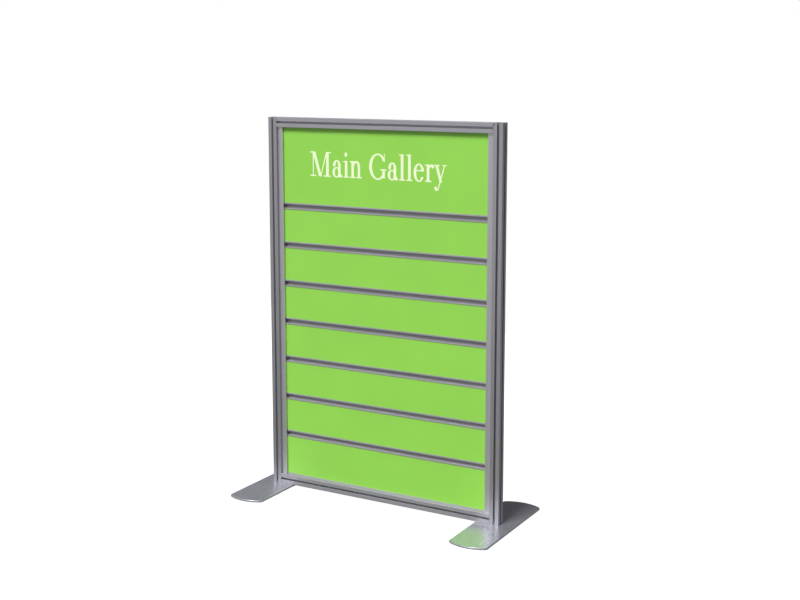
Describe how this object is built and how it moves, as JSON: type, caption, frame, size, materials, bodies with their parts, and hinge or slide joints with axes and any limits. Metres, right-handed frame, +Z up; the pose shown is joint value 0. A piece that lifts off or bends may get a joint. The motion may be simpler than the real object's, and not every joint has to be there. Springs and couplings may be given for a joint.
{
  "type": "partition wall",
  "caption": "Free-standing partition wall: slotted aluminium frame on two flat foot plates, green header board above a field of slat boards with accessory channels.",
  "frame": {"origin": "on the floor, midway between the two uprights and midway through the frame's depth", "axes": "+Z up, +X along the wall to its right-hand end as seen from the grooved face, -Y out of the grooved face"},
  "size_m": [1.1148, 0.508, 1.474],
  "materials": {
    "frame_anodised": "satin natural anodised",
    "trim_anodised": "satin natural anodised, a shade lighter",
    "green_laminate": "fibreboard faced with satin green laminate",
    "back_sheet": "hardboard with a matt grey face",
    "foot_metal": "satin plated steel with bright eased edges",
    "zinc_steel": "zinc plated",
    "pad_rubber": "matt"
  },
  "bodies": {
    "root": {"left_upright": "frame_anodised", "right_upright": "frame_anodised", "top_rail": "frame_anodised", "bottom_rail": "frame_anodised", "left_side_channel": "trim_anodised", "right_side_channel": "trim_anodised", "sill_trim": "trim_anodised", "slat_channel_1": "trim_anodised", "slat_channel_2": "trim_anodised", "slat_channel_3": "trim_anodised", "slat_channel_4": "trim_anodised", "slat_channel_5": "trim_anodised", "slat_channel_6": "trim_anodised", "slat_channel_7": "trim_anodised", "header_board": "green_laminate", "slat_board_1": "green_laminate", "slat_board_2": "green_laminate", "slat_board_3": "green_laminate", "slat_board_4": "green_laminate", "slat_board_5": "green_laminate", "slat_board_6": "green_laminate", "base_board": "green_laminate", "back_panel": "back_sheet", "left_foot_plate": "foot_metal", "right_foot_plate": "foot_metal", "left_bottom_rail_bolt": "zinc_steel", "left_top_rail_bolt": "zinc_steel", "left_foot_bolt": "zinc_steel", "left_front_foot_pin": "zinc_steel", "left_back_foot_pin": "zinc_steel", "right_bottom_rail_bolt": "zinc_steel", "right_top_rail_bolt": "zinc_steel", "right_foot_bolt": "zinc_steel", "right_front_foot_pin": "zinc_steel", "right_back_foot_pin": "zinc_steel", "left_foot_pad": "pad_rubber", "right_foot_pad": "pad_rubber"}
  },
  "joints": []
}
